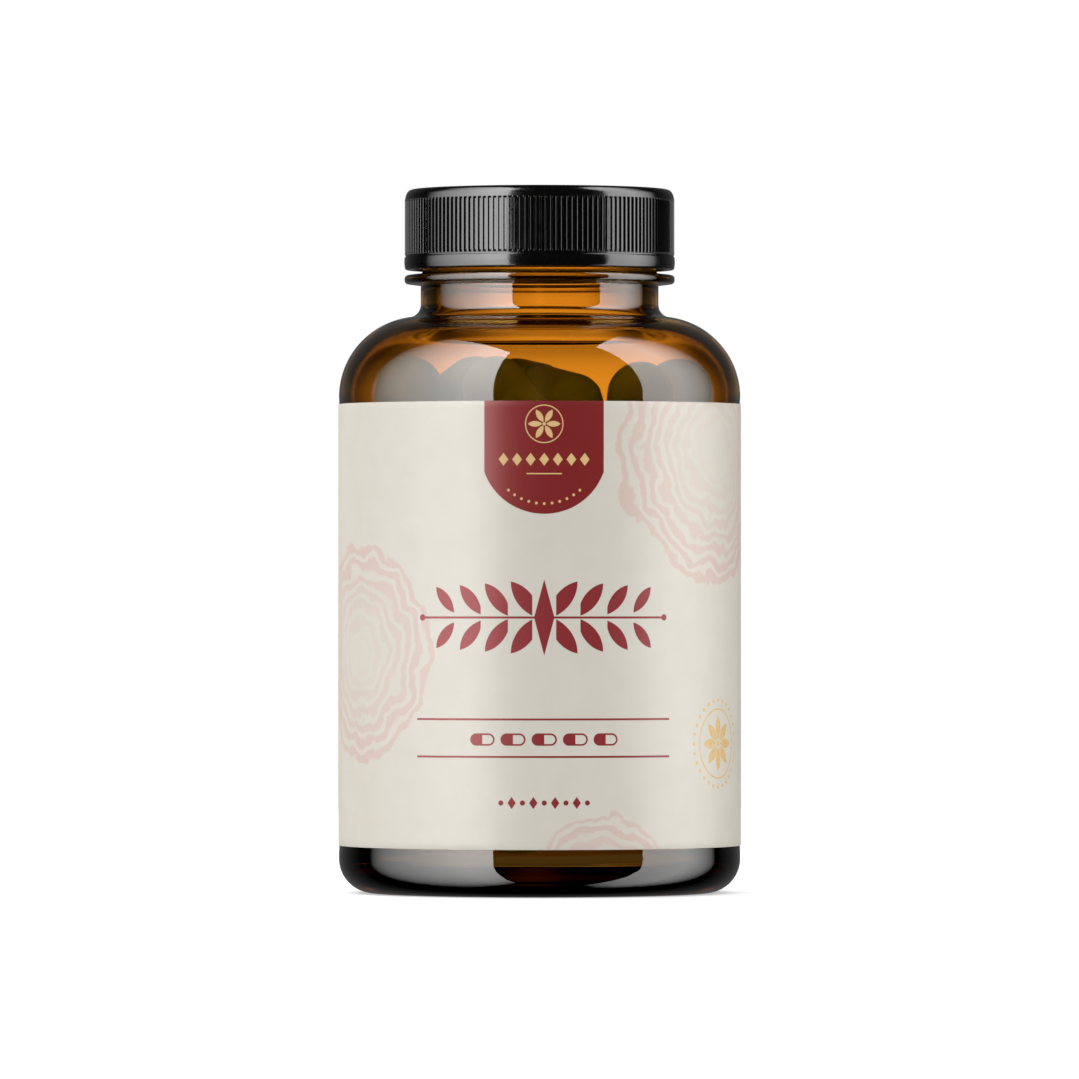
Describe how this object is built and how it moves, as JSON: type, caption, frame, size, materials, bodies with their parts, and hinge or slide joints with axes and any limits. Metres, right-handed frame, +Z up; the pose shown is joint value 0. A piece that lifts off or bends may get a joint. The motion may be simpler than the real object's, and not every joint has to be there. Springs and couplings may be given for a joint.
{
  "type": "amber glass capsule bottle with screw cap",
  "caption": "Round wide-mouth amber glass bottle of two-part hard capsules, with a ribbed black screw cap and a wrap label.",
  "frame": {"origin": "middle of the ring that the bottle stands on", "axes": "+Z up the bottle's axis; the middle of the label's front faces -Y"},
  "size_m": [0.0602, 0.0602, 0.1051],
  "materials": {
    "amber_glass": "clear amber, glossy",
    "black_plastic": "black, moulded, semi-gloss",
    "label_paper": "cream, satin varnish",
    "liner_foam": "white closed-cell foam",
    "capsule_shell": "leaf green, smooth"
  },
  "bodies": {
    "bottle": {"bottle": "amber_glass", "label": "label_paper", "capsule_01": "capsule_shell", "capsule_02": "capsule_shell", "capsule_03": "capsule_shell", "capsule_04": "capsule_shell", "capsule_05": "capsule_shell", "capsule_06": "capsule_shell", "capsule_07": "capsule_shell", "capsule_08": "capsule_shell", "capsule_09": "capsule_shell", "capsule_10": "capsule_shell", "capsule_11": "capsule_shell", "capsule_12": "capsule_shell", "capsule_13": "capsule_shell", "capsule_14": "capsule_shell", "capsule_15": "capsule_shell", "capsule_16": "capsule_shell", "capsule_17": "capsule_shell", "capsule_18": "capsule_shell", "capsule_19": "capsule_shell", "capsule_20": "capsule_shell", "capsule_21": "capsule_shell", "capsule_22": "capsule_shell", "capsule_23": "capsule_shell", "capsule_24": "capsule_shell", "capsule_25": "capsule_shell", "capsule_26": "capsule_shell", "capsule_27": "capsule_shell", "capsule_28": "capsule_shell", "capsule_29": "capsule_shell", "capsule_30": "capsule_shell", "capsule_31": "capsule_shell", "capsule_32": "capsule_shell", "capsule_33": "capsule_shell", "capsule_34": "capsule_shell", "capsule_35": "capsule_shell", "capsule_36": "capsule_shell", "capsule_37": "capsule_shell", "capsule_38": "capsule_shell", "capsule_39": "capsule_shell", "capsule_40": "capsule_shell", "capsule_41": "capsule_shell", "capsule_42": "capsule_shell", "capsule_43": "capsule_shell", "capsule_44": "capsule_shell", "capsule_45": "capsule_shell", "capsule_46": "capsule_shell", "capsule_47": "capsule_shell", "capsule_48": "capsule_shell", "capsule_49": "capsule_shell", "capsule_50": "capsule_shell", "capsule_51": "capsule_shell", "capsule_52": "capsule_shell", "capsule_53": "capsule_shell"},
    "liner": {"liner": "liner_foam"},
    "cap": {"cap": "black_plastic"}
  },
  "joints": [
    {"name": "cap_lift", "type": "slide", "parent": "bottle", "child": "liner", "axis": [0, 0, 1], "range_m": [0, 0.0053]},
    {"name": "cap_turn", "type": "hinge", "parent": "liner", "child": "cap", "pos_m": [0, 0, 0.0986], "axis": [0, 0, 1], "range_deg": [0, 450]}
  ],
  "couplings": [
    {"joint": "cap_lift", "follows": "cap_turn", "m_per_rad": 0.0006737}
  ]
}
